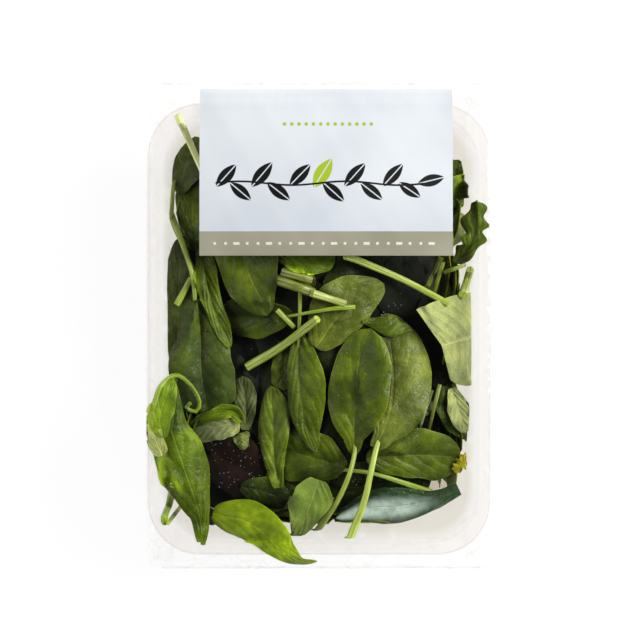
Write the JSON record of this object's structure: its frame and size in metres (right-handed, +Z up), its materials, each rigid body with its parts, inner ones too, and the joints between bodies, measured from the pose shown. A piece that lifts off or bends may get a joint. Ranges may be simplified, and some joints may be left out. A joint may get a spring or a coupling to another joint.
{
  "type": "film-wrapped tray of baby spinach",
  "caption": "Clear ribbed tray of loose baby spinach leaves, shut in a clear flow wrap with a printed panel.",
  "frame": {"origin": "middle of the tray, on the flat underside of the wrap", "axes": "+X across the tray, +Y along it towards the end with the printed panel, +Z up through the leaves"},
  "size_m": [0.1488, 0.2168, 0.0662],
  "materials": {
    "clear_tray": "clear thermoformed plastic, glossy",
    "leaf": "fresh leaf, satin, with paler veins and stalks",
    "clear_film": "thin clear film, glossy, lightly creased",
    "panel_white": "printed white field on film, satin",
    "panel_grey": "printed warm grey band on film, satin"
  },
  "bodies": {
    "root": {"tray": "clear_tray", "spinach": "leaf", "wrap": "clear_film", "panel": "panel_white", "panel_band": "panel_grey"}
  },
  "joints": []
}
